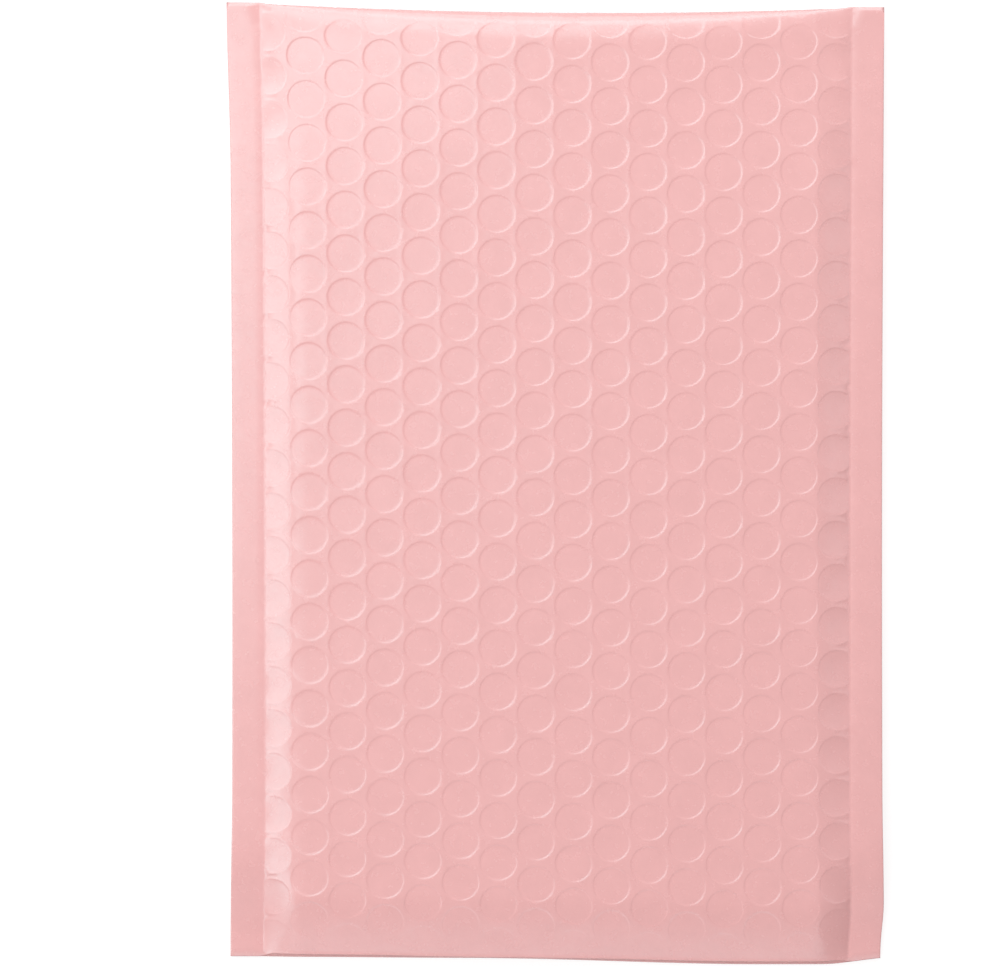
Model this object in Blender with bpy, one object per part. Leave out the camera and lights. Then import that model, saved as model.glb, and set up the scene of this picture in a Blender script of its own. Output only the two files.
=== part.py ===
"""A padded mailing envelope of poly film, 6 x 10 inches.

One web of film, laminated with its bubble lining, is folded once, welded along both sides
and cut longer at the back, where it makes the flap. The envelope lies on its back: its
front faces +Z, the fold is at +Y and the mouth at -Y, where the flap is turned under the
back panel. The flap carries an adhesive strip, covered by its release liner.
"""

import math

import bmesh
import bpy
from mathutils import Vector
from mathutils.geometry import delaunay_2d_cdt
from mathutils.kdtree import KDTree

# The welded pouch, in metres
POUCH_WIDTH = 0.1524
WELD_WIDTH = 0.0085
PANEL_LENGTH = 0.248
PANEL_THICKNESS = 0.00375
FILM_THICKNESS = 0.00022
WAIST = 0.0004

# How the padding swells: away from the welds, at the fold's corners and from the mouth
WELD_RISE = 0.0095
CORNER_RISE = 0.004
CORNER_SHARE = 0.15
FOLD_BLEND = 0.045
MOUTH_RISE = 0.014

# The mouth: two flattened lips with the slit between them, and the pocket behind it
LIP_THICKNESS = 0.0008
MOUTH_GAP = 0.001
WELD_LIFT = 0.03
POCKET_GAP = 0.0008
POCKET_TAPER = 0.008
POCKET_EDGE = 0.001

# The bubbles, in a lattice whose rows drop a little towards +X
BUBBLE_DIAMETER = 0.010
BUBBLE_DEPTH = 0.00042
COLUMN_SPACING = 0.00988
ROW_PITCH = 0.0113
LATTICE_SHIFT = -0.0008
ROW_START = 0.0035
LATTICE_SKEW = math.radians(0.55)
BARE_LIP = 0.004
RELIEF_FADE = 0.010
WELD_FADE = 0.002
FRONT_SIDES = 8
BACK_SIDES = 6

# The flap, turned under the back panel
FLAP_LENGTH = 0.042
CREASE_OVERHANG = 0.0012
FLAP_CLEARANCE = 0.00035
FLAP_STEP = 0.012
CREASE_SEGMENTS = 8

# The closure on the flap: a strip of adhesive under a wider release liner
LINER_WIDTH = 0.022
LINER_THICKNESS = 0.0002
LINER_INSET = 0.005
ADHESIVE_WIDTH = 0.016
ADHESIVE_THICKNESS = 0.0002
END_INSET = 0.0015
LAYER_GAP = 0.0003

# Heights of the layers under the mouth, from the liner up
ADHESIVE_BOTTOM = LINER_THICKNESS + LAYER_GAP
FLAP_BOTTOM = ADHESIVE_BOTTOM + ADHESIVE_THICKNESS + LAYER_GAP
BACK_OVER_FLAP = FLAP_BOTTOM + FILM_THICKNESS + FLAP_CLEARANCE
LIP_TOP = BACK_OVER_FLAP + 2 * LIP_THICKNESS + MOUTH_GAP
CROWN_TOP = 2 * PANEL_THICKNESS

# Places along Y and across X
HALF_POUCH = POUCH_WIDTH / 2
HALF_WIDTH = HALF_POUCH + WELD_WIDTH
HALF_WELD = FILM_THICKNESS
FOLD_TAKE_UP = math.pi / 2 - 1
TOTAL_LENGTH = PANEL_LENGTH - FOLD_TAKE_UP * HALF_WELD + CREASE_OVERHANG
FOLD_Y = TOTAL_LENGTH / 2 + FOLD_TAKE_UP * HALF_WELD
MOUTH_Y = FOLD_Y - PANEL_LENGTH
CREASE_Y = MOUTH_Y - CREASE_OVERHANG
FLAP_REACH = FLAP_LENGTH - CREASE_OVERHANG
FLAP_EDGE_Y = CREASE_Y + FLAP_LENGTH

# Spacing of the mesh's points, and how close they may come to a bubble's own
MESH_STEP = 0.011
FINE_STEP = 0.006
FOLD_SEGMENTS = 4
POINT_CLEARANCE = 0.0012
MM = 1000


def clamp(value):
    return min(1.0, max(0.0, value))


def smooth(value):
    """0 to 1 with level ends"""
    value = clamp(value)
    return value * value * (3 - 2 * value)


def rise(distance, width):
    """0 to 1 as a parabola that levels off after WIDTH"""
    return 1 - (1 - clamp(distance / width)) ** 2


def mix(first, second, share):
    return first + (second - first) * share


def even_steps(start, end, longest):
    """Values from start to end, no further apart than LONGEST"""
    count = max(1, math.ceil((end - start) / longest - 1e-6))
    return [mix(start, end, step / count) for step in range(count + 1)]


def crown_top(from_mouth):
    """Height of the front along the middle"""
    return mix(LIP_TOP, CROWN_TOP, rise(from_mouth, MOUTH_RISE))


def crown_bottom(from_mouth):
    """Height of the back along the middle: on the floor, and over the flap near the mouth"""
    past_flap = from_mouth - FLAP_REACH - FLAP_CLEARANCE
    return BACK_OVER_FLAP * (1 - smooth(past_flap / FLAP_STEP))


def weld_height(from_mouth):
    """Height of the welds: half-way up the sides, and down on the flap at the mouth"""
    middle = (crown_top(from_mouth) + crown_bottom(from_mouth)) / 2
    at_mouth = crown_bottom(from_mouth) + HALF_WELD
    return mix(at_mouth, middle, smooth(from_mouth / WELD_LIFT))


def fold_share(from_weld):
    """Share of the full thickness that the fold reaches at this distance from the weld"""
    bulge = 1 - (1 - CORNER_SHARE) * (1 - clamp(from_weld / HALF_POUCH)) ** 2
    return bulge * rise(from_weld, CORNER_RISE)


def fold_radius(from_weld):
    return mix(HALF_WELD, PANEL_THICKNESS, fold_share(from_weld))


def swell(from_weld, past_fold):
    """Share of the full thickness that a panel reaches"""
    along_panel = smooth(past_fold / FOLD_BLEND)
    return mix(fold_share(from_weld), rise(from_weld, WELD_RISE), along_panel)


def pulled_in(across, from_mouth):
    """X of a point of the web, with the sides pulled in between the ends"""
    waist = WAIST * math.sin(math.pi * clamp(from_mouth / PANEL_LENGTH))
    return across * (1 - waist / HALF_WIDTH)


def bubble_centre(column, row):
    """Place of a bubble on the flat web: across it, and along it from the fold line"""
    across = LATTICE_SHIFT + (column + 0.5) * COLUMN_SPACING
    start = ROW_START + across * math.tan(LATTICE_SKEW)
    if column % 2 == 0:
        start += ROW_PITCH / 2
    return across, start + row * ROW_PITCH


def nearest_bubble(across, along):
    """Distance to the nearest bubble's centre"""
    near_column = math.floor((across - LATTICE_SHIFT) / COLUMN_SPACING)
    best = math.inf
    for column in (near_column - 1, near_column, near_column + 1):
        start = bubble_centre(column, 0)[1]
        centre = bubble_centre(column, round((along - start) / ROW_PITCH))
        best = min(best, math.dist(centre, (across, along)))
    return best


def relief(across, along):
    """How strongly the bubbles show: less at the welds and the mouth, not at all over the flap"""
    bare = BARE_LIP if along > 0 else FLAP_REACH + FLAP_STEP / 2
    at_mouth = (PANEL_LENGTH - abs(along) - bare) / RELIEF_FADE
    at_weld = (HALF_POUCH - abs(across)) / WELD_FADE
    return clamp(at_mouth) * clamp(at_weld)


def dent(across, along):
    """Depth of the film's dish over a bubble"""
    outward = nearest_bubble(across, along) / (BUBBLE_DIAMETER / 2)
    return BUBBLE_DEPTH * relief(across, along) * (1 - clamp(outward) ** 2)


def skin_point(across, along):
    """Where a point of the web lies: ALONG is positive on the front, negative on the back"""
    from_weld = HALF_POUCH - abs(across)
    from_fold = abs(along)
    from_mouth = PANEL_LENGTH - from_fold
    face = 1 if along > 0 else -1
    radius = fold_radius(from_weld)
    quarter_turn = radius * math.pi / 2
    depth = dent(across, along)
    x = pulled_in(across, from_mouth)
    if from_fold < quarter_turn:
        turned = from_fold / radius
        y = FOLD_Y - quarter_turn + (radius - depth) * math.cos(turned)
        z = PANEL_THICKNESS + face * (radius - depth) * math.sin(turned)
        return Vector((x, y, z))
    level = weld_height(from_mouth)
    crown = crown_top(from_mouth) if face > 0 else crown_bottom(from_mouth)
    height = mix(HALF_WELD, abs(crown - level), swell(from_weld, from_fold - quarter_turn))
    return Vector((x, FOLD_Y - from_fold, level + face * (height - depth)))


def bubble_points():
    """Centre and rim of every bubble that lies on the pouch, on the flat web"""
    points = []
    columns = math.ceil(HALF_POUCH / COLUMN_SPACING) + 1
    rows = math.ceil(PANEL_LENGTH / ROW_PITCH) + 2
    widest = HALF_POUCH - POINT_CLEARANCE
    longest = PANEL_LENGTH - POINT_CLEARANCE
    for column in range(-columns, columns):
        for row in range(-rows, rows):
            across, along = bubble_centre(column, row)
            if relief(0, along) == 0:
                continue
            sides = FRONT_SIDES if along > -BUBBLE_DIAMETER else BACK_SIDES
            first = math.pi / sides if sides == FRONT_SIDES else 0.0
            ring = [(across, along)]
            for side in range(sides):
                angle = first + side * math.tau / sides
                ring.append((
                    across + BUBBLE_DIAMETER / 2 * math.cos(angle),
                    along + BUBBLE_DIAMETER / 2 * math.sin(angle),
                ))
            points += [p for p in ring if abs(p[0]) < widest and abs(p[1]) < longest]
    return points


def fold_points():
    """A grid close enough to turn round the fold"""
    quarter_turn = PANEL_THICKNESS * math.pi / 2
    widest = HALF_POUCH - POINT_CLEARANCE
    acrosses = even_steps(-widest, widest, COLUMN_SPACING / 3)
    lengths = even_steps(-quarter_turn, quarter_turn, quarter_turn / FOLD_SEGMENTS)
    return [(across, along) for along in lengths for across in acrosses]


def helper_points():
    """Points that give the mouth's slope and the bare back over the flap their form"""
    slopes = [HALF_POUCH - WELD_RISE * share for share in (0.25, 0.55, 1.0)]
    middle = even_steps(-slopes[-1], slopes[-1], FINE_STEP * 2)[1:-1]
    columns = sorted([-across for across in slopes] + slopes + middle)
    points = []
    for share in (0.12, 0.35, 0.65, 1.0):
        from_fold = PANEL_LENGTH - share * MOUTH_RISE
        points += [(across, from_fold) for across in columns]
    bare_rows = even_steps(PANEL_LENGTH - FLAP_REACH, PANEL_LENGTH, MESH_STEP)[:-1]
    step_rows = [PANEL_LENGTH - FLAP_REACH - share * FLAP_STEP for share in (0.33, 0.67, 1)]
    for from_fold in bare_rows + step_rows:
        points += [(across, -from_fold) for across in columns]
    return points


def edge_points():
    """Points on the web's four edges and on the two weld lines, the same on front and back"""
    lengths = even_steps(0, PANEL_LENGTH, MESH_STEP)
    fine_lengths = even_steps(0, PANEL_LENGTH, FINE_STEP)
    lengths = [-value for value in reversed(lengths[1:])] + lengths
    fine_lengths = [-value for value in reversed(fine_lengths[1:])] + fine_lengths
    points = []
    for side in (-1, 1):
        points += [(side * HALF_WIDTH, along) for along in lengths]
        points += [(side * HALF_POUCH, along) for along in fine_lengths]
        for across in even_steps(-HALF_POUCH, HALF_POUCH, FINE_STEP)[1:-1]:
            points.append((across, side * PANEL_LENGTH))
    return points


def thinned(points, kept):
    """The points that keep their clearance from those already kept"""
    tree = KDTree(len(kept))
    for index, (across, along) in enumerate(kept):
        tree.insert((across, along, 0), index)
    tree.balance()
    return [point for point in points if tree.find((*point, 0))[2] > POINT_CLEARANCE]


def web_mesh():
    """The flat web, triangulated: its points in metres and its triangles"""
    points = edge_points()
    points += thinned(fold_points(), points)
    points += thinned(bubble_points(), points)
    points += thinned(helper_points(), points)
    flat = [Vector((across * MM, along * MM)) for across, along in points]
    placed, _, triangles, *_ = delaunay_2d_cdt(flat, [], [], 0, 1e-5)
    return [(point.x / MM, point.y / MM) for point in placed], triangles


def ladder(bm, first, second):
    """Quads between two rows of as many vertices"""
    for index in range(len(first) - 1):
        corners = [first[index], first[index + 1], second[index + 1], second[index]]
        distinct = list(dict.fromkeys(corners))
        bm.faces.new(distinct)


def add_object(name, bm):
    bmesh.ops.recalc_face_normals(bm, faces=bm.faces)
    mesh = bpy.data.meshes.new(name)
    bm.to_mesh(mesh)
    bm.free()
    obj = bpy.data.objects.new(name, mesh)
    bpy.context.scene.collection.objects.link(obj)
    return obj


def padded_web(name):
    """The folded web as a filled body: its skin, the edges of its welds and its mouth end"""
    points, triangles = web_mesh()
    bm = bmesh.new()
    verts = [bm.verts.new(skin_point(*point)) for point in points]
    for triangle in triangles:
        bm.faces.new([verts[index] for index in triangle])
    half_step = POINT_CLEARANCE / 2

    def row(on_row, position):
        found = [index for index, point in enumerate(points) if on_row(point)]
        return [verts[index] for index in sorted(found, key=lambda i: position(points[i]))]

    for side in (-1, 1):
        edge = side * HALF_WIDTH
        front = row(lambda p: abs(p[0] - edge) < half_step and p[1] > -half_step, lambda p: p[1])
        back = row(lambda p: abs(p[0] - edge) < half_step and p[1] < half_step, lambda p: -p[1])
        ladder(bm, front, back)
    front = row(lambda p: p[1] > PANEL_LENGTH - half_step, lambda p: p[0])
    back = row(lambda p: p[1] < half_step - PANEL_LENGTH, lambda p: p[0])
    ladder(bm, front, back)
    return add_object(name, bm)


def slab(name, acrosses, lengths, lower, upper):
    """A closed sheet between two surfaces, each a function of a place across and along"""
    bm = bmesh.new()
    layers = []
    for surface in (lower, upper):
        layers.append([[bm.verts.new(surface(a, b)) for a in acrosses] for b in lengths])
        for near, far in zip(layers[-1], layers[-1][1:]):
            ladder(bm, near, far)
    for end in (0, -1):
        ladder(bm, layers[0][end], layers[1][end])
        ladder(bm, [line[end] for line in layers[0]], [line[end] for line in layers[1]])
    return add_object(name, bm)


def pocket_cutter(name):
    """The flat space between the panels, open at the mouth and closing to its other edges"""
    widest = HALF_POUCH - POCKET_EDGE
    depth = PANEL_LENGTH - (1 + FOLD_TAKE_UP) * PANEL_THICKNESS
    inner = even_steps(POCKET_TAPER - widest, widest - POCKET_TAPER, 2 * MESH_STEP)
    acrosses = [-widest, -widest + POCKET_TAPER / 2, *inner, widest - POCKET_TAPER / 2, widest]
    lengths = [-CREASE_OVERHANG, 0, *even_steps(MOUTH_RISE / 3, depth - POCKET_TAPER, MESH_STEP)]
    lengths += [depth - POCKET_TAPER / 2, depth]

    def surface(face):
        def point(across, from_mouth):
            inside = clamp(from_mouth / PANEL_LENGTH) * PANEL_LENGTH
            level = weld_height(inside)
            middle = (crown_top(inside) + crown_bottom(inside)) / 2
            share = swell(HALF_POUCH - abs(across), PANEL_LENGTH - inside)
            taper = min(widest - abs(across), depth - from_mouth) / POCKET_TAPER
            gap = mix(MOUTH_GAP, POCKET_GAP, clamp(inside / MOUTH_RISE)) * mix(0.2, 1, clamp(taper))
            z = mix(level, middle, share) + face * gap / 2
            return Vector((pulled_in(across, inside), MOUTH_Y + from_mouth, z))
        return point

    return slab(name, acrosses, lengths, surface(-1), surface(1))


def arc(centre, radius, start, end):
    """Points of an arc in the YZ plane, angles measured from +Y towards +Z"""
    angles = [mix(start, end, step / CREASE_SEGMENTS) for step in range(CREASE_SEGMENTS + 1)]
    return [(centre[0] + radius * math.cos(a), centre[1] + radius * math.sin(a)) for a in angles]


def flap_film(name):
    """The film that leaves the back panel at the mouth, turns round the crease and runs back"""
    bite = HALF_WELD / 4
    top_run = BACK_OVER_FLAP + bite
    root_y = MOUTH_Y + CREASE_OVERHANG
    flap_top = FLAP_BOTTOM + FILM_THICKNESS
    outer = (top_run + FILM_THICKNESS - FLAP_BOTTOM) / 2
    inner = outer - FILM_THICKNESS
    centre = (CREASE_Y + outer, FLAP_BOTTOM + outer)
    profile = [(root_y, top_run + FILM_THICKNESS)]
    profile += arc(centre, outer, math.pi / 2, math.pi * 3 / 2)
    profile += [(FLAP_EDGE_Y, FLAP_BOTTOM), (FLAP_EDGE_Y, flap_top)]
    profile += arc(centre, inner, math.pi * 3 / 2, math.pi / 2)
    profile += [(root_y, top_run)]
    bm = bmesh.new()
    face = bm.faces.new([bm.verts.new((-HALF_WIDTH, y, z)) for y, z in profile])
    swept = bmesh.ops.extrude_face_region(bm, geom=[face])
    moved = [item for item in swept["geom"] if isinstance(item, bmesh.types.BMVert)]
    bmesh.ops.translate(bm, verts=moved, vec=(2 * HALF_WIDTH, 0, 0))
    return add_object(name, bm)


def closure_strip(name, width, thickness, bottom):
    """A strip across the flap, centred on the line where the closure lies"""
    middle = FLAP_EDGE_Y - LINER_INSET - LINER_WIDTH / 2
    half_length = HALF_WIDTH - END_INSET
    acrosses = even_steps(-half_length, half_length, 2 * half_length)
    lengths = [middle - width / 2, middle + width / 2]
    return slab(
        name,
        acrosses,
        lengths,
        lambda across, along: Vector((across, along, bottom)),
        lambda across, along: Vector((across, along, bottom + thickness)),
    )


def boolean(obj, other, operation):
    modifier = obj.modifiers.new(other.name, "BOOLEAN")
    modifier.operation = operation
    modifier.object = other
    other.hide_render = True
    other.display_type = "WIRE"


def finish(obj, colour, roughness):
    """Give the piece its own material and smooth its curved faces"""
    material = bpy.data.materials.new(obj.name)
    material.use_nodes = True
    shader = material.node_tree.nodes["Principled BSDF"]
    shader.inputs["Base Color"].default_value = (*colour, 1)
    shader.inputs["Roughness"].default_value = roughness
    shader.inputs["Metallic"].default_value = 0.0
    obj.data.materials.append(material)
    obj.data.shade_smooth()
    obj.data.set_sharp_from_angle(angle=math.radians(35))


def build():
    for obj in list(bpy.data.objects):
        bpy.data.objects.remove(obj)
    bag = padded_web("bubble_lined_bag")
    boolean(bag, flap_film("flap_film"), "UNION")
    boolean(bag, pocket_cutter("pocket_cutter"), "DIFFERENCE")
    finish(bag, (0.84, 0.48, 0.47), 0.42)
    strip = closure_strip("adhesive_strip", ADHESIVE_WIDTH, ADHESIVE_THICKNESS, ADHESIVE_BOTTOM)
    finish(strip, (0.80, 0.79, 0.74), 0.30)
    liner = closure_strip("release_liner", LINER_WIDTH, LINER_THICKNESS, 0.0)
    finish(liner, (0.86, 0.86, 0.85), 0.25)


build()
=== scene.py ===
"""Looks of the padded mailing envelope: its film with the bubbles' full relief, and the light.

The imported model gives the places. The bag is one web of poly film, laid out flat and folded
by formulas: u runs across it, v along it from the fold line (positive on the front, negative
on the back), and m is the distance from the mouth. All sizes are in millimetres.
"""

import math

import bmesh
import bpy
import numpy as np
from mathutils import Matrix, Vector
from mathutils.geometry import delaunay_2d_cdt
from mathutils.kdtree import KDTree


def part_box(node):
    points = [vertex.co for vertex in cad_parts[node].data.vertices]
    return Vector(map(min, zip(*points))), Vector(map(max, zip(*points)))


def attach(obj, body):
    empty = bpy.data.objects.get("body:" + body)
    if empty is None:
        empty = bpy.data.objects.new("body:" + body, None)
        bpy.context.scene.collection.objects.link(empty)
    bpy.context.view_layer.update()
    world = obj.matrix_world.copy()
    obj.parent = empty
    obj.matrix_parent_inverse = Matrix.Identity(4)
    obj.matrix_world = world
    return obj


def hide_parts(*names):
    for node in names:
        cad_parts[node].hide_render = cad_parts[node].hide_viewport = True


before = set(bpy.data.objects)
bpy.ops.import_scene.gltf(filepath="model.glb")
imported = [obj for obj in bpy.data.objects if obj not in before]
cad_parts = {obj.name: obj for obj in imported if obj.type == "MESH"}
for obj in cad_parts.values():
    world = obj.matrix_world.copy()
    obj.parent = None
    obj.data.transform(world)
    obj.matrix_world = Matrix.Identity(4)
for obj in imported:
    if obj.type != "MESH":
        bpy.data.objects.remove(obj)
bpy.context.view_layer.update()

MM = 0.001

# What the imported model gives
BAG_LOW, BAG_HIGH = (np.array(corner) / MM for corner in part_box("bubble_lined_bag"))
_, LINER_HIGH = (np.array(corner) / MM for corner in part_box("release_liner"))
GLUE_LOW, GLUE_HIGH = (np.array(corner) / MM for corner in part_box("adhesive_strip"))
LAYER_GAP = GLUE_LOW[2] - LINER_HIGH[2]

# The welded pouch
POUCH_WIDTH = 152.4
PANEL_LENGTH = 248.0
FILM = 0.22
CROWN_TOP = BAG_HIGH[2]
PANEL_THICKNESS = CROWN_TOP / 2
HALF_POUCH = POUCH_WIDTH / 2
HALF_WIDTH = BAG_HIGH[0]
WELD_WIDTH = HALF_WIDTH - HALF_POUCH
HALF_WELD = FILM
FOLD_Y = BAG_HIGH[1] + (math.pi / 2 - 1) * HALF_WELD
MOUTH_Y = FOLD_Y - PANEL_LENGTH
CREASE_Y = BAG_LOW[1]
EDGE_ROUND = 0.5
EDGE_HALF = 0.03

# How the padding swells
WELD_RISE = 9.5
WELD_LEVEL = 0.58
CORNER_RISE = 4.0
CORNER_SHARE = 0.15
FOLD_BLEND = 45.0
MOUTH_RISE = 16.0
FOLD_QUARTER = 10.0
WELD_LIFT = 30.0
WELD_SETTLE = 130.0
SLOPE_POWER = 1.5
MOST_TURN = 2.2

# The padding's slow unevenness, and the share of it that the front shows
SLOW_UNREST = 0.10
QUICK_UNREST = 0.06
UNREST_SHARE = 0.5
UNREST_RUN = 1.5

# How the outline departs from a rectangle: widths near the fold and the mouth, the waist
# between them, the lean of the fold, and the mouth's edge, which sags right of the middle
LEFT_FOLD_SPREAD = 0.75
FOLD_SPREAD_RUN = 43.0
MOUTH_SPREAD = 0.50
MOUTH_SPREAD_RUN = 45.0
RIGHT_LEAN = 0.55
CORNER_CUT = 1.0
CORNER_CUT_RUN = 14.0
WAIST = 0.4
FOLD_SLANT = math.radians(0.43)
MOUTH_LIFT = 1.0
MOUTH_SAG = 1.63
SAG_START, SAG_RISE = -22.0, 75.0
SAG_END, SAG_FALL = 70.0, 18.0
LEFT_LIFT = 0.35
LEFT_LIFT_START, LEFT_LIFT_RISE = 10.0, 70.0

# The mouth and the pocket behind it
LIP_THICKNESS = 0.8
MOUTH_GAP = 0.4
POCKET_GAP = 0.8
POCKET_TAPER = 8.0
POCKET_EDGE = 1.0
FLAP_LENGTH = 42.0
FLAP_CLEARANCE = 0.35
FLAP_STEP = 12.0
FLAP_BOTTOM = GLUE_HIGH[2] + LAYER_GAP
FLAP_REACH = FLAP_LENGTH - (MOUTH_Y - CREASE_Y)
BACK_OVER_FLAP = FLAP_BOTTOM + FILM + FLAP_CLEARANCE
LIP_TOP = BACK_OVER_FLAP + 2 * LIP_THICKNESS + MOUTH_GAP
LIP_LOFT = 1.1
LIP_REACH = 0.5
LIP_LEAST_REACH = 0.1
LIP_REACH_MIDDLE = -15.0
LIP_REACH_WIDTH = 28.0
REACH_FADE = 6.0
LIP_BULGE = 0.18
CREASE_RISE = 2.1
WELD_CREASE = 0.29
LIP_SHARE = 0.8
LIP_THINNING = 12.0
LIP_CURL = 0.1
LIP_CURL_WIDTH = 0.9
WELD_COVER = 0.95
BEAD_LENGTH = 1.35
BEAD_HEIGHT = 0.36
BEAD_FADE = 4.0

# The bubbles
COLUMN_SPACING = 9.79
COLUMN_SLANT = math.radians(0.16)
ROW_PITCH = 11.25
ROW_BOW = 1.15
LATTICE_SHIFT = -0.85
ROW_START = 2.5
LATTICE_SKEW = math.radians(0.40)
BARE_LIP = 4.0
RELIEF_FADE = 10.0
WELD_FADE = 1.2
FOLD_RELIEF = 0.25
FOLD_RELIEF_RUN = 7.0
FLOOR_RADIUS = 4.54
RIM_RADIUS = 4.98
STEP_DEPTH = 0.085
DISH_DEPTH = 0.015
SIDE_DISH = 0.22
SIDE_START, SIDE_RUN = 4.0, 6.0
SHOULDER = 0.015
SHOULDER_WIDTH = 0.3
SEAM_RIDGE = 0.02
SEAM_WIDTH = 0.5

# The small folds between the first bubbles, and the line along the weld
OUTER_COLUMNS = (-8, 7)
GROOVE_DEPTH = 0.26
GROOVE_WIDTH = 0.45
GROOVE_REACH = 4.5
WELD_LINE_DEPTH = 0.07
WELD_LINE_WIDTH = 0.35

# Columns of points near a weld's outer edge, which is rounded
EDGE_INSETS = (0.0, 0.08, 0.2, 0.35, 0.5)

# Rings of points round each bubble, as radius and number of points
FRONT_RINGS = ((2.4, 6), (4.0, 12), (4.50, 26), (4.66, 26), (4.80, 26), (4.95, 26), (5.2, 26))
BACK_RINGS = ((3.4, 10), (4.48, 18), (4.78, 18), (5.08, 18))
FINE_RINGS_FROM = -6.0
RINGS_OFF_MOUTH = 5.4

# Spacing of the other points, and the zones that they fill
EDGE_STEP = 2.0
WELD_LINE_STEP = 1.4
MOUTH_STEP = 1.5
FOLD_ZONE = 6.0
FOLD_STEPS = (1.6, 0.5)
LIP_ROWS = (0.2, 0.45, 0.8, 1.3, 2.1, 3.2, 4.6)
BARE_ROWS = (0.4, 1.2, 3.0)
BARE_STEPS = (3.0, 4.0)
WELD_COLUMN = 2.5
WELD_STEP = 4.0
WELD_FOLD_ZONE = 2.4
WELD_FOLD_STEPS = (1.2, 0.15)
GAP_STEPS = (0.9, 1.0)
GAP_FROM_CENTRE = 5.6

# Colours of the films, and of the adhesive
FILM_DARK = (0.798, 0.372, 0.364)
FILM_LIGHT = (0.828, 0.388, 0.380)
FILM_GLOSS_TINT = (0.5, 0.96, 1.0, 1)
ADHESIVE_DARK = (0.74, 0.72, 0.66)
ADHESIVE_LIGHT = (0.83, 0.82, 0.78)
LINER_DARK = (0.83, 0.83, 0.82)
LINER_LIGHT = (0.88, 0.88, 0.87)

# The floor and the sky: how brightly each is seen, and how strongly each lights the object
FLOOR_HALF_WIDTH = 4.0
FLOOR_GREY = 0.3
FLOOR_GLOW = 0.8
FLOOR_LIGHT = 0.33
SKY_GLOW = 1.0
SKY_LIGHT = 0.29

# Name, angle from the vertical, angle round it from +X, distance in metres, size in metres,
# radiance and tint of each softbox
SOFTBOXES = (
    ("key", 16, 160, 0.95, (0.32, 0.32), 2.85, (0.80, 1, 1)),
    ("top", 31, 104, 0.95, (0.36, 0.36), 2.9, (0.80, 1, 1)),
    ("top_strip", 52, 90, 0.90, (1.20, 0.24), 3.5, (0.88, 1, 1)),
    ("top_rim", 72, 90, 0.90, (1.20, 0.30), 1.9, (0.90, 1, 1)),
    ("upper_left", 46, 145, 0.95, (0.46, 0.46), 3.2, (0.80, 1, 1)),
    ("left", 44, 192, 0.95, (0.32, 0.60), 2.5, (0.80, 1, 1)),
    ("left_strip", 58, 180, 0.85, (0.30, 1.20), 0.65, (1, 1, 1)),
    ("right", 50, 0, 0.95, (0.32, 0.32), 1.3, (1, 0.55, 0.55)),
    ("foot", 46, 270, 0.90, (1.20, 0.30), 1.6, (1, 0.72, 0.72)),
)

# The camera looks down on the front, a little from the mouth's side
CAMERA_TARGET = (-14.82, 0.81, 4.0)
CAMERA_TILT = math.radians(3.451)
CAMERA_DISTANCE = 1.5
CAMERA_LENS = 208.1


def smooth(value):
    """0 to 1 with level ends"""
    value = np.clip(value, 0, 1)
    return value * value * (3 - 2 * value)


def rise(distance, width):
    """0 to 1 as a parabola that levels off after width"""
    return 1 - (1 - np.clip(distance / width, 0, 1)) ** 2


def mix(first, second, share):
    return first + (second - first) * share


def even_steps(start, end, longest):
    """Values from start to end, no further apart than longest"""
    count = max(1, math.ceil((end - start) / longest - 1e-6))
    return list(np.linspace(start, end, count + 1))


def crown_top(m):
    """Height of the front along the middle"""
    climb = 1 - (1 - np.clip(m / MOUTH_RISE, 0, 1)) ** SLOPE_POWER
    return mix(LIP_TOP + LIP_LOFT, CROWN_TOP, climb)


def crown_bottom(m):
    """Height of the back along the middle: on the floor, and over the flap near the mouth"""
    past_flap = m - FLAP_REACH - FLAP_CLEARANCE
    return BACK_OVER_FLAP * (1 - smooth(past_flap / FLAP_STEP))


def weld_height(m):
    """Height of the welds: at mid-height at the fold, a little above it, then down on the flap"""
    from_fold = PANEL_LENGTH - m - FOLD_QUARTER
    share = mix(0.5, WELD_LEVEL, smooth(from_fold / WELD_LIFT))
    middle = share * CROWN_TOP + BACK_OVER_FLAP / 2 * (1 - smooth(m / WELD_SETTLE))
    at_mouth = BACK_OVER_FLAP + HALF_WELD
    return mix(at_mouth, middle, smooth(m / WELD_LIFT))


def fold_share(from_weld):
    """Share of the full thickness that the fold reaches at this distance from the weld"""
    bulge = 1 - (1 - CORNER_SHARE) * (1 - np.clip(from_weld / HALF_POUCH, 0, 1)) ** 2
    return bulge * rise(from_weld, CORNER_RISE)


def swell(from_weld, past_fold):
    """Share of the full thickness that a panel reaches"""
    slope = 1 - (1 - np.clip(from_weld / WELD_RISE, 0, 1)) ** SLOPE_POWER
    return mix(fold_share(from_weld), slope, smooth(past_fold / FOLD_BLEND))


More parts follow.
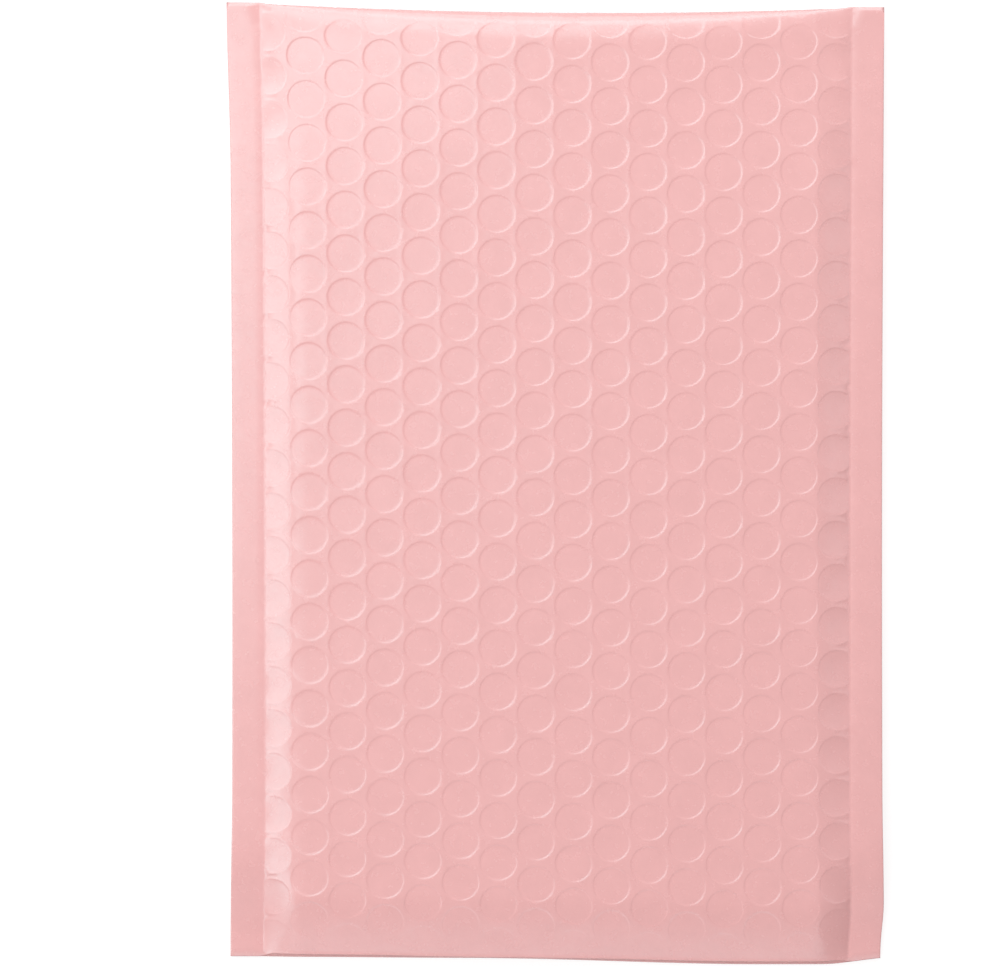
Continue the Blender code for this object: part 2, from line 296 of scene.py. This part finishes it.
def outline_shift(u, m):
    """How far the soft sheet's real outline departs from a rectangle, across and along"""
    near_fold = smooth((m - PANEL_LENGTH + FOLD_SPREAD_RUN) / FOLD_SPREAD_RUN)
    near_mouth = smooth((MOUTH_SPREAD_RUN - m) / MOUTH_SPREAD_RUN)
    corner_cut = CORNER_CUT * smooth((CORNER_CUT_RUN - m) / CORNER_CUT_RUN)
    left = LEFT_FOLD_SPREAD * near_fold + MOUTH_SPREAD * near_mouth
    right = RIGHT_LEAN * (0.5 - m / PANEL_LENGTH) + MOUTH_SPREAD * near_mouth - corner_cut
    waist = WAIST * np.sin(math.pi * np.clip(m / PANEL_LENGTH, 0, 1))
    across = np.where(u < 0, -(left - waist), right - waist) * (u / HALF_WIDTH) ** 2
    slant = math.tan(FOLD_SLANT)
    sag = MOUTH_SAG * smooth((u - SAG_START) / SAG_RISE) * (1 - smooth((u - SAG_END) / SAG_FALL))
    corner = LEFT_LIFT * smooth((-u - LEFT_LIFT_START) / LEFT_LIFT_RISE)
    along = -u * slant * m / PANEL_LENGTH + (MOUTH_LIFT - sag + corner) * near_mouth
    return across, along


def unrest(u, v):
    """Unevenness of the padding: two crossed waves, each with its own lengths and phases"""
    slow = np.sin(u / 13.0 + 1.3) * np.sin(v / 17.0 + 0.4)
    quick = np.sin(u / 6.1 + v / 23.0) * np.sin(v / 8.3 + 2.1)
    return SLOW_UNREST * slow + QUICK_UNREST * quick


def column_place(column, v):
    """Where a column of bubbles stands across the web at the distance v from the fold line"""
    drift = (v - PANEL_LENGTH / 2) * math.tan(COLUMN_SLANT)
    return LATTICE_SHIFT + (column + 0.5) * COLUMN_SPACING + drift


def first_row(column):
    """Where a column's first bubble stands along the web: the rows bow and slope a little"""
    across = LATTICE_SHIFT + (column + 0.5) * COLUMN_SPACING
    bow = ROW_BOW * (1 - (across / HALF_POUCH) ** 2)
    stagger = np.where(np.mod(column, 2) == 0, ROW_PITCH / 2, 0.0)
    return ROW_START + bow + across * math.tan(LATTICE_SKEW) + stagger


def bubble_offsets(u, v):
    """Distance from the nearest bubble's centre"""
    column = np.round((u - column_place(0, v)) / COLUMN_SPACING)
    best = np.full(u.shape, 1e9)
    for near in (column - 1, column, column + 1):
        start = first_row(near)
        along = start + np.round((v - start) / ROW_PITCH) * ROW_PITCH
        across = column_place(near, along)
        best = np.minimum(best, np.hypot(across - u, along - v))
    return best


def relief_share(u, v):
    """How strongly the bubbles show"""
    bare = np.where(v > 0, BARE_LIP, FLAP_REACH + FLAP_STEP / 2)
    at_mouth = (PANEL_LENGTH - np.abs(v) - bare) / RELIEF_FADE
    at_weld = (HALF_POUCH - np.abs(u)) / WELD_FADE
    at_fold = mix(FOLD_RELIEF, 1, smooth((np.abs(v) - 0.5) / FOLD_RELIEF_RUN))
    return np.clip(at_mouth, 0, 1) * np.clip(at_weld, 0, 1) * at_fold


def relief(u, v):
    """Height of the film above its mean surface: sunken discs with a step round each"""
    away = bubble_offsets(u, v)
    step = smooth((away - FLOOR_RADIUS) / (RIM_RADIUS - FLOOR_RADIUS))
    dish = np.clip(1 - (away / FLOOR_RADIUS) ** 2, 0, 1)
    shoulder = np.exp(-(((away - RIM_RADIUS - SHOULDER_WIDTH / 2) / SHOULDER_WIDTH) ** 2))
    seam_offset = (u - column_place(-0.5, v)) / COLUMN_SPACING
    seam_offset = (seam_offset - np.round(seam_offset)) * COLUMN_SPACING
    seam = np.exp(-((seam_offset / SEAM_WIDTH) ** 2)) * step
    beside_weld = 1 - smooth((HALF_POUCH - np.abs(u) - SIDE_START) / SIDE_RUN)
    dish_depth = DISH_DEPTH + SIDE_DISH * beside_weld
    height = -STEP_DEPTH * (1 - step) - dish_depth * dish + SHOULDER * shoulder
    height = height + SEAM_RIDGE * seam
    return height * relief_share(u, v)


def weld_pinch(u, v):
    """Small folds that run in from the welds between the first bubbles, and the weld's groove"""
    start = first_row(np.where(u < 0, *OUTER_COLUMNS))
    phase = (v - start) / ROW_PITCH - 0.5
    between = (phase - np.round(phase)) * ROW_PITCH
    inward = HALF_POUCH - np.abs(u)
    groove = np.exp(-((between / GROOVE_WIDTH) ** 2)) * np.clip(inward / 0.4, 0, 1)
    groove = groove * (1 - smooth((inward - 1.0) / GROOVE_REACH))
    at_mouth = np.clip((PANEL_LENGTH - np.abs(v) - 3) / 6, 0, 1)
    crinkle = 1 + 0.4 * np.sin(v * 1.9) * np.sin(v * 0.37)
    line = np.exp(-((inward - 0.1) / WELD_LINE_WIDTH) ** 2) * crinkle
    return -(GROOVE_DEPTH * groove * at_mouth + WELD_LINE_DEPTH * line)


def fold_bead(u, v):
    """The welds stop short of the fold, which leaves a rounded strip there"""
    on_weld = smooth((np.abs(u) - HALF_POUCH) / 3)
    along = np.abs(v) / BEAD_LENGTH
    ramp = np.clip(along, 0, 1) ** 2
    return BEAD_HEIGHT * on_weld * ramp * (1 - smooth((np.abs(v) - BEAD_LENGTH) / BEAD_FADE))


def lip_curl(u, v):
    """The mouth's cut edge curls up a little"""
    from_edge = PANEL_LENGTH - v
    in_pouch = smooth((HALF_POUCH - 3 - np.abs(u)) / 5)
    return LIP_CURL * in_pouch * np.clip(1 - from_edge / LIP_CURL_WIDTH, 0, 1) ** 2


def front_reach(u, v):
    """How far the front skin reaches past the mouth's line, most at the welds over the crease"""
    on_weld = smooth((np.abs(u) - HALF_POUCH + 3) / 4)
    near_mouth = 1 - smooth((PANEL_LENGTH - v) / REACH_FADE)
    furthest = np.exp(-(((u - LIP_REACH_MIDDLE) / LIP_REACH_WIDTH) ** 2))
    lip = LIP_LEAST_REACH + LIP_REACH * furthest
    return mix(lip, WELD_COVER, on_weld) * near_mouth


def fold_turn(share, across_radius, along_radius):
    """Angle round the fold's elliptical section at this share of its quarter's length"""
    first = np.minimum(FOLD_QUARTER / (across_radius * math.pi / 2), MOST_TURN)
    last = FOLD_QUARTER / (along_radius * math.pi / 2)
    cubic = first + last - 2
    square = 3 - 2 * first - last
    return math.pi / 2 * (cubic * share**3 + square * share**2 + first * share)


def skin(u, v):
    """Places of points of the folded web's outer skin"""
    from_weld = HALF_POUCH - np.abs(u)
    from_fold = np.abs(v)
    m = PANEL_LENGTH - from_fold
    face = np.where(v > 0, 1.0, -1.0)
    in_pouch = np.clip(from_weld / UNREST_RUN, 0, 1)
    uneven = np.where(v > 0, unrest(u, v), 0) * in_pouch * UNREST_SHARE
    height = relief(u, v) + weld_pinch(u, v) + uneven
    height = height + np.where(v > 0, fold_bead(u, v) + lip_curl(u, v), 0)
    height = np.where(v > 0, height, np.minimum(height, 0))

    radius = mix(HALF_WELD, PANEL_THICKNESS, fold_share(from_weld))
    tip_y = FOLD_Y - (math.pi / 2 - 1) * radius
    along_radius = FOLD_QUARTER - (FOLD_Y - tip_y)
    turned = fold_turn(np.clip(from_fold / FOLD_QUARTER, 0, 1), radius, along_radius)
    cos, sin = np.cos(turned), np.sin(turned)
    normal = np.hypot(radius * cos, along_radius * sin)
    fold_y = tip_y - along_radius * (1 - cos) + height * radius * cos / normal
    fold_z = PANEL_THICKNESS + face * (radius * sin + height * along_radius * sin / normal)

    level = weld_height(m)
    crown = np.where(face > 0, crown_top(m), crown_bottom(m))
    thick = mix(HALF_WELD, np.abs(crown - level), swell(from_weld, from_fold - FOLD_QUARTER))
    edge = np.clip((np.abs(u) - (HALF_WIDTH - EDGE_ROUND)) / EDGE_ROUND, 0, 1)
    thick = thick - (HALF_WELD - EDGE_HALF) * (1 - np.sqrt(np.clip(1 - edge**2, 0, 1)))
    flat_z = level + face * (thick + height)
    on_fold = from_fold < FOLD_QUARTER
    y = np.where(on_fold, fold_y, FOLD_Y - from_fold)
    z = np.where(on_fold, fold_z, flat_z)
    across, along = outline_shift(u, m)
    along = along - np.where(v > 0, front_reach(u, v), 0)
    return np.stack([u + across, y + along, z], axis=-1)


def ring_points(rings):
    """One bubble's points round its centre"""
    points = [(0.0, 0.0)]
    for radius, count in rings:
        for step in range(count):
            angle = step * math.tau / count
            points.append((radius * math.cos(angle), radius * math.sin(angle)))
    return np.array(points)


def bubble_points():
    """The rings' points of every bubble that lies on the pouch"""
    columns = math.ceil(HALF_POUCH / COLUMN_SPACING) + 1
    rows = math.ceil(PANEL_LENGTH / ROW_PITCH) + 2
    found = []
    for rings, side in ((FRONT_RINGS, 1), (BACK_RINGS, -1)):
        ring = ring_points(rings)
        for column in range(-columns, columns):
            for row in range(-rows, rows):
                along = float(first_row(column)) + row * ROW_PITCH
                on_front = along > FINE_RINGS_FROM
                if on_front == (side > 0):
                    found.append(ring + (column_place(column, along), along))
    points = np.concatenate(found)
    bare = np.where(points[:, 1] > 0, RINGS_OFF_MOUTH, FLAP_REACH + 4.0)
    inside = (np.abs(points[:, 0]) < HALF_POUCH - 0.5) & (
        np.abs(points[:, 1]) < PANEL_LENGTH - bare
    )
    return points[inside]


def grid(acrosses, lengths):
    """A point for each place across and each length"""
    return np.array([(u, v) for v in lengths for u in acrosses])


def edge_rows():
    """Points on the web's edges, the same on front and back"""
    half_lengths = even_steps(0, PANEL_LENGTH, EDGE_STEP)[:-1]
    lengths = [-value for value in reversed(half_lengths[1:])] + half_lengths
    acrosses = [s * (HALF_WIDTH - inset) for s in (-1, 1) for inset in EDGE_INSETS]
    weld = grid(acrosses, lengths)
    inner = even_steps(0, PANEL_LENGTH, WELD_LINE_STEP)[:-1]
    inner = [-value for value in reversed(inner[1:])] + inner
    lines = grid([s * (HALF_POUCH - inset) for s in (-1, 1) for inset in (0, 0.35, -0.4)], inner)
    ends = grid(mouth_columns(), [-PANEL_LENGTH, PANEL_LENGTH])
    return np.concatenate([weld, lines, ends])


def mouth_columns():
    """Where the columns of points stand along the mouth, from weld edge to weld edge"""
    pocket = HALF_POUCH - POCKET_EDGE
    middle = even_steps(-pocket, pocket, MOUTH_STEP)
    weld = even_steps(HALF_POUCH, HALF_WIDTH - MOUTH_STEP, MOUTH_STEP)
    right = sorted([*weld, *(HALF_WIDTH - inset for inset in EDGE_INSETS)])
    return [-value for value in reversed(right)] + middle + right


def fill_points():
    """Points between the bubbles' rings, round the fold and on the bare ends"""
    fold = grid(
        even_steps(-HALF_POUCH + 0.8, HALF_POUCH - 0.8, FOLD_STEPS[0]),
        even_steps(-FOLD_ZONE, FOLD_ZONE, FOLD_STEPS[1]),
    )
    lip = grid(
        [u for u in mouth_columns() if abs(u) < HALF_POUCH - 0.5],
        [PANEL_LENGTH - m for m in LIP_ROWS],
    )
    bare = grid(
        even_steps(-HALF_POUCH + 1, HALF_POUCH - 1, BARE_STEPS[0]),
        [
            m - PANEL_LENGTH
            for m in (*BARE_ROWS, *even_steps(6, FLAP_REACH + 3, BARE_STEPS[1]))
        ],
    )
    left = [-HALF_WIDTH + WELD_COLUMN, -HALF_POUCH - WELD_COLUMN]
    right = [HALF_WIDTH - WELD_COLUMN, HALF_POUCH + WELD_COLUMN]
    weld = grid(left + right, even_steps(-PANEL_LENGTH + 2, PANEL_LENGTH - 2, WELD_STEP))
    outward = even_steps(0.4, WELD_WIDTH - 0.9, WELD_FOLD_STEPS[0])
    weld_fold = grid(
        [side * (HALF_POUCH + inset) for side in (-1, 1) for inset in outward],
        even_steps(-WELD_FOLD_ZONE, WELD_FOLD_ZONE, WELD_FOLD_STEPS[1]),
    )
    gaps = grid(
        even_steps(-HALF_POUCH + 0.9, HALF_POUCH - 0.9, GAP_STEPS[0]),
        even_steps(-PANEL_LENGTH + FLAP_REACH + 4, PANEL_LENGTH - 3, GAP_STEPS[1]),
    )
    gaps = gaps[bubble_offsets(gaps[:, 0], gaps[:, 1]) > GAP_FROM_CENTRE]
    return fold, lip, bare, weld, weld_fold, gaps


def thinned(points, kept, clearance):
    """The points that keep their clearance from those already kept"""
    tree = KDTree(len(kept))
    for index, (u, v) in enumerate(kept):
        tree.insert((u, v, 0), index)
    tree.balance()
    return np.array([p for p in points if tree.find((*p, 0))[2] > clearance])


def flat_web():
    """The flat web's points and its triangles"""
    kept = edge_rows()
    fold, lip, bare, weld, weld_fold, gaps = fill_points()
    for points, clearance in (
        (weld_fold, 0.1),
        (lip, 0.1),
        (fold, 0.35),
        (bubble_points(), 0.16),
        (gaps, 0.4),
        (bare, 0.8),
        (weld, 0.9),
    ):
        kept = np.concatenate([kept, thinned(points, kept, clearance)])
    flat = [Vector((float(u), float(v))) for u, v in kept]
    placed, _, triangles, *_ = delaunay_2d_cdt(flat, [], [], 0, 1e-6)
    return np.array([(p.x, p.y) for p in placed]), triangles


def pocket_level(u, m):
    """Mid-height of the pocket, which comes near the front skin at the lip"""
    inside = np.clip(m, 0, PANEL_LENGTH)
    up = mix(LIP_SHARE, 0.5, smooth(inside / LIP_THINNING))
    middle = mix(crown_bottom(inside), crown_top(inside), up)
    share = swell(HALF_POUCH - np.abs(u), PANEL_LENGTH - inside)
    return mix(weld_height(inside), middle, share)


POCKET_DEPTH = PANEL_LENGTH - FOLD_QUARTER


def pocket_row(acrosses, m, face):
    """A row of the pocket's inner skin"""
    u = np.array(acrosses)
    widest = HALF_POUCH - POCKET_EDGE
    taper = np.minimum(widest - np.abs(u), POCKET_DEPTH - m) / POCKET_TAPER
    gap = mix(MOUTH_GAP, POCKET_GAP, np.clip(m / MOUTH_RISE, 0, 1))
    half = np.where(taper > 1e-6, gap / 2 * mix(0.2, 1, np.clip(taper, 0, 1)), 0)
    z = pocket_level(u, m) + face * half
    across, along = outline_shift(u, np.full(u.shape, float(m)))
    return np.stack([u + across, MOUTH_Y + m + along, z], axis=-1)


def crease_profile():
    """The flap film's outer and inner line in the YZ plane, from the mouth round to its edge"""
    top = BACK_OVER_FLAP + CREASE_RISE
    outer = (top - FLAP_BOTTOM) / 2
    inner = outer - FILM
    centre_y = CREASE_Y + outer
    centre_z = FLAP_BOTTOM + outer
    turns = np.linspace(math.pi / 2, math.pi * 3 / 2, 13)

    def line(radius, edge_z):
        arc = [(centre_y + radius * math.cos(a), centre_z + radius * math.sin(a)) for a in turns]
        lengths = np.linspace(centre_y + 2, CREASE_Y + FLAP_LENGTH, 12)
        return arc + [(y, edge_z) for y in lengths]

    return line(outer, FLAP_BOTTOM), line(inner, FLAP_BOTTOM + FILM)


def add_mesh(name, verts, faces):
    mesh = bpy.data.meshes.new(name)
    mesh.from_pydata([tuple(point) for point in np.array(verts) * MM], [], faces)
    mesh.validate()
    bm = bmesh.new()
    bm.from_mesh(mesh)
    bmesh.ops.recalc_face_normals(bm, faces=bm.faces)
    bm.to_mesh(mesh)
    bm.free()
    mesh.shade_smooth()
    obj = bpy.data.objects.new(name, mesh)
    bpy.context.scene.collection.objects.link(obj)
    return obj


def bag_mesh(name):
    """The whole bag as one closed skin: web, lips, pocket and flap"""
    flat, triangles = flat_web()
    verts = list(skin(flat[:, 0], flat[:, 1]))
    faces = [tuple(triangle) for triangle in triangles]

    def add_row(points):
        first = len(verts)
        verts.extend(points)
        return list(range(first, first + len(points)))

    def found(mask, order):
        index = np.nonzero(mask)[0]
        return list(index[np.argsort(order[index])])

    def ladder(one, other):
        for a, b, c, d in zip(one, one[1:], other[1:], other):
            corners = list(dict.fromkeys((a, b, c, d)))
            if len(corners) > 2:
                faces.append(tuple(corners))

    u, v = flat[:, 0], flat[:, 1]
    near = 0.02
    for side in (-1, 1):
        on_edge = np.abs(u - side * HALF_WIDTH) < near
        ladder(found(on_edge & (v > -near), v), found(on_edge & (v < near), -v))
    front = found(v > PANEL_LENGTH - near, u)
    back = found(v < near - PANEL_LENGTH, u)
    columns = mouth_columns()

    widest = HALF_POUCH - POCKET_EDGE
    in_pocket = [index for index, u in enumerate(columns) if abs(u) < widest + near]
    first, last = in_pocket[0], in_pocket[-1]

    # The mouth's front lip: rounded from the outer skin to the pocket's upper skin
    outer_lip = np.array([verts[index] for index in front])
    upper = pocket_row(columns, 0.0, 1)
    lower = pocket_row(columns, 0.0, -1)
    for index in range(len(columns)):
        if index < first or index > last:
            middle = (outer_lip[index][2] + verts[back[index]][2]) / 2
            upper[index] = lower[index] = (outer_lip[index][0], upper[index][1], middle)
    lip_mid = (outer_lip + upper) / 2
    lip_mid[:, 1] = np.minimum(outer_lip[:, 1], upper[:, 1]) - LIP_BULGE
    mid_row = add_row(lip_mid)
    upper_row = add_row(upper)
    lower_row = list(upper_row)
    for index in range(first + 1, last):
        verts.append(lower[index])
        lower_row[index] = len(verts) - 1
    ladder(front, mid_row)
    ladder(mid_row, upper_row)

    # The pocket
    depths = [0.4, 1.0, 2.0, 4.0, 8.0, 14.0, 24.0]
    depths += even_steps(34, POCKET_DEPTH - POCKET_TAPER, 12.0)
    depths += [POCKET_DEPTH - POCKET_TAPER / 2, POCKET_DEPTH]
    pocket_columns = columns[first : last + 1]
    above, below = upper_row[first : last + 1], lower_row[first : last + 1]
    for depth in depths:
        new_above = add_row(pocket_row(pocket_columns, depth, 1))
        new_below = list(new_above)
        if depth < POCKET_DEPTH:
            bottom_points = pocket_row(pocket_columns, depth, -1)
            for index in range(1, len(pocket_columns) - 1):
                verts.append(bottom_points[index])
                new_below[index] = len(verts) - 1
        ladder(above, new_above)
        ladder(below, new_below)
        above, below = new_above, new_below

    # The flap: outer line from the lower lip, inner line from the back skin's end
    outer_line, inner_line = crease_profile()
    u_all = np.array(columns)
    across, along = outline_shift(u_all, np.zeros(u_all.shape))
    squash = mix(WELD_CREASE, 1, swell(HALF_POUCH - np.abs(u_all), PANEL_LENGTH))

    def flap_row(y, z):
        inward = 0.5 * smooth((y - CREASE_Y) / 6) / HALF_WIDTH
        shift, _ = outline_shift(u_all, np.full(u_all.shape, max(0.0, y - MOUTH_Y)))
        fade = np.clip(1 - (y - CREASE_Y) / 30, 0, 1)
        x = u_all * (1 - inward) + shift
        height = FLAP_BOTTOM + (z - FLAP_BOTTOM) * squash
        return np.stack([x, y + along * fade, height], axis=-1)

    outer_rows = [lower_row] + [add_row(flap_row(y, z)) for y, z in outer_line]
    inner_rows = [back] + [add_row(flap_row(y, z)) for y, z in inner_line]
    for rows in (outer_rows, inner_rows):
        for one, other in zip(rows, rows[1:]):
            ladder(one, other)
    ladder(outer_rows[-1], inner_rows[-1])
    for end in (0, -1):
        ladder([row[end] for row in outer_rows], [row[end] for row in inner_rows])
        corner = [front[end], mid_row[end], lower_row[end], back[end]]
        faces.append(tuple(dict.fromkeys(corner)))
    return add_mesh(name, verts, faces)


def new_material(name):
    material = bpy.data.materials.new(name)
    material.use_nodes = True
    return material, material.node_tree, material.node_tree.nodes["Principled BSDF"]


def noise(tree, scale, detail=2.0, stretch=(1, 1, 1)):
    """Noise in the object's own coordinates: scale is features to the metre"""
    place = tree.nodes.new("ShaderNodeTexCoord")
    stretched = tree.nodes.new("ShaderNodeMapping")
    stretched.inputs["Scale"].default_value = stretch
    texture = tree.nodes.new("ShaderNodeTexNoise")
    texture.inputs["Scale"].default_value = scale
    texture.inputs["Detail"].default_value = detail
    tree.links.new(place.outputs["Object"], stretched.inputs["Vector"])
    tree.links.new(stretched.outputs["Vector"], texture.inputs["Vector"])
    return texture.outputs["Fac"]


def ranged(tree, factor, socket, low, high):
    """Drives a socket from low to high as the noise goes from 0.3 to 0.7"""
    span = tree.nodes.new("ShaderNodeMapRange")
    for name, value in (("From Min", 0.3), ("From Max", 0.7), ("To Min", low), ("To Max", high)):
        span.inputs[name].default_value = value
    tree.links.new(factor, span.inputs["Value"])
    tree.links.new(span.outputs["Result"], socket)


def mottled(tree, factor, socket, dark, light):
    """Drives a colour socket between two near colours"""
    ramp = tree.nodes.new("ShaderNodeValToRGB")
    ramp.color_ramp.elements[0].position = 0.3
    ramp.color_ramp.elements[1].position = 0.7
    ramp.color_ramp.elements[0].color = (*dark, 1)
    ramp.color_ramp.elements[1].color = (*light, 1)
    tree.links.new(factor, ramp.inputs["Fac"])
    tree.links.new(ramp.outputs["Color"], socket)


def bumped(tree, layers, socket):
    """Chains bumps, each a factor and its height in metres"""
    normal = None
    for factor, height in layers:
        bump = tree.nodes.new("ShaderNodeBump")
        bump.inputs["Strength"].default_value = 1.0
        bump.inputs["Distance"].default_value = height
        tree.links.new(factor, bump.inputs["Height"])
        if normal is not None:
            tree.links.new(normal, bump.inputs["Normal"])
        normal = bump.outputs["Normal"]
    tree.links.new(normal, socket)


def poly_film(name):
    """Satin pink film: cloudy pigment, slow unevenness, and a fine grain in its gloss"""
    material, tree, shader = new_material(name)
    cloud = noise(tree, 160, 3.0)
    mottled(tree, cloud, shader.inputs["Base Color"], FILM_DARK, FILM_LIGHT)
    ranged(tree, noise(tree, 420, 3.0), shader.inputs["Roughness"], 0.22, 0.29)
    drawn = noise(tree, 330, 2.0, (1.0, 0.45, 1.0))
    grain = noise(tree, 2600, 2.0)
    bumped(tree, ((drawn, 0.000010), (grain, 0.0000006)), shader.inputs["Normal"])
    shader.inputs["Specular IOR Level"].default_value = 1.0
    shader.inputs["Specular Tint"].default_value = FILM_GLOSS_TINT
    return material


def hot_melt(name):
    """Clear, slightly milky adhesive, laid down in long ribs"""
    material, tree, shader = new_material(name)
    cloud = noise(tree, 260, 3.0)
    mottled(tree, cloud, shader.inputs["Base Color"], ADHESIVE_DARK, ADHESIVE_LIGHT)
    ranged(tree, noise(tree, 500, 2.0), shader.inputs["Roughness"], 0.12, 0.3)
    ribs = noise(tree, 900, 1.0, (0.02, 1.0, 1.0))
    bumped(tree, ((ribs, 0.00006),), shader.inputs["Normal"])
    return material


def siliconised_film(name):
    """White release film: smooth, with faint lines along its length and slow waves"""
    material, tree, shader = new_material(name)
    cloud = noise(tree, 90, 2.0)
    mottled(tree, cloud, shader.inputs["Base Color"], LINER_DARK, LINER_LIGHT)
    lines = noise(tree, 1500, 2.0, (0.02, 1.0, 1.0))
    ranged(tree, lines, shader.inputs["Roughness"], 0.2, 0.32)
    waves = noise(tree, 60, 1.0, (1.0, 0.6, 1.0))
    bumped(tree, ((waves, 0.00012), (lines, 0.000004)), shader.inputs["Normal"])
    return material


def seen_directly(tree):
    """1 for rays from the camera or off gloss or glass, 0 for the light on the object"""
    path = tree.nodes.new("ShaderNodeLightPath")
    total = path.outputs["Is Camera Ray"]
    for name in ("Is Glossy Ray", "Is Transmission Ray"):
        larger = tree.nodes.new("ShaderNodeMath")
        larger.operation = "MAXIMUM"
        tree.links.new(total, larger.inputs[0])
        tree.links.new(path.outputs[name], larger.inputs[1])
        total = larger.outputs["Value"]
    return total


def strength_by_ray(tree, socket, lit, seen):
    """The strength that lights the object, and the one that is seen"""
    span = tree.nodes.new("ShaderNodeMapRange")
    span.inputs["To Min"].default_value = lit
    span.inputs["To Max"].default_value = seen
    tree.links.new(seen_directly(tree), span.inputs["Value"])
    tree.links.new(span.outputs["Result"], socket)


def stage():
    """The floor and the world round it"""
    mesh = bpy.data.meshes.new("floor")
    size = FLOOR_HALF_WIDTH
    corners = [(-size, -size, 0), (size, -size, 0), (size, size, 0), (-size, size, 0)]
    mesh.from_pydata(corners, [], [(0, 1, 2, 3)])
    floor = bpy.data.objects.new("floor", mesh)
    bpy.context.scene.collection.objects.link(floor)
    material, tree, shader = new_material("pale_floor")
    shader.inputs["Base Color"].default_value = (FLOOR_GREY, FLOOR_GREY, FLOOR_GREY, 1)
    shader.inputs["Roughness"].default_value = 0.9
    shader.inputs["Specular IOR Level"].default_value = 0.0
    shader.inputs["Emission Color"].default_value = (1, 1, 1, 1)
    strength_by_ray(tree, shader.inputs["Emission Strength"], FLOOR_LIGHT, FLOOR_GLOW)
    floor.data.materials.append(material)

    world = bpy.data.worlds.new("studio")
    bpy.context.scene.world = world
    world.use_nodes = True
    background = world.node_tree.nodes["Background"]
    background.inputs["Color"].default_value = (1, 1, 1, 1)
    strength_by_ray(world.node_tree, background.inputs["Strength"], SKY_LIGHT, SKY_GLOW)


def area_light(name, place, aim, size, radiance, colour):
    """A softbox: its radiance is 1 where a white card would look white"""
    data = bpy.data.lights.new(name, "AREA")
    data.shape = "RECTANGLE"
    data.size, data.size_y = size
    data.energy = radiance * math.pi * size[0] * size[1]
    data.color = colour
    lamp = bpy.data.objects.new(name, data)
    lamp.location = place
    direction = Vector(aim) - Vector(place)
    across = Vector((0, 1, 0)).cross(-direction).normalized()
    upward = (-direction).normalized().cross(across)
    turn = Matrix((across, upward, -direction.normalized())).transposed()
    lamp.rotation_euler = turn.to_euler()
    lamp.visible_camera = False
    bpy.context.scene.collection.objects.link(lamp)
    return lamp


def camera():
    data = bpy.data.cameras.new("camera")
    data.sensor_width = 36
    data.lens = CAMERA_LENS
    data.clip_start = 0.05
    data.clip_end = 50
    eye = bpy.data.objects.new("camera", data)
    back = Vector((0, math.sin(CAMERA_TILT), math.cos(CAMERA_TILT)))
    up = Vector((0, math.cos(CAMERA_TILT), -math.sin(CAMERA_TILT)))
    place = Vector(CAMERA_TARGET) * MM + back * CAMERA_DISTANCE
    turn = Matrix((up.cross(back), up, back)).transposed().to_4x4()
    eye.matrix_world = Matrix.Translation(place) @ turn
    bpy.context.scene.collection.objects.link(eye)
    bpy.context.scene.camera = eye


film = poly_film("pink_film")
bag = bag_mesh("bag_film")
bag.data.materials.append(film)
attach(bag, "root")
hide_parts("bubble_lined_bag")

finishes = {"adhesive_strip": hot_melt("adhesive"), "release_liner": siliconised_film("liner")}
for node, finish in finishes.items():
    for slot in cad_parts[node].material_slots:
        slot.material = finish

stage()
for name, lean, turn, distance, size, radiance, tint in SOFTBOXES:
    lean, turn = math.radians(lean), math.radians(turn)
    outward = math.sin(lean)
    place = Vector((outward * math.cos(turn), outward * math.sin(turn), math.cos(lean)))
    area_light(name, place * distance, (0, 0, 0), size, radiance, tint)
camera()
bpy.context.scene.view_settings.view_transform = "Standard"
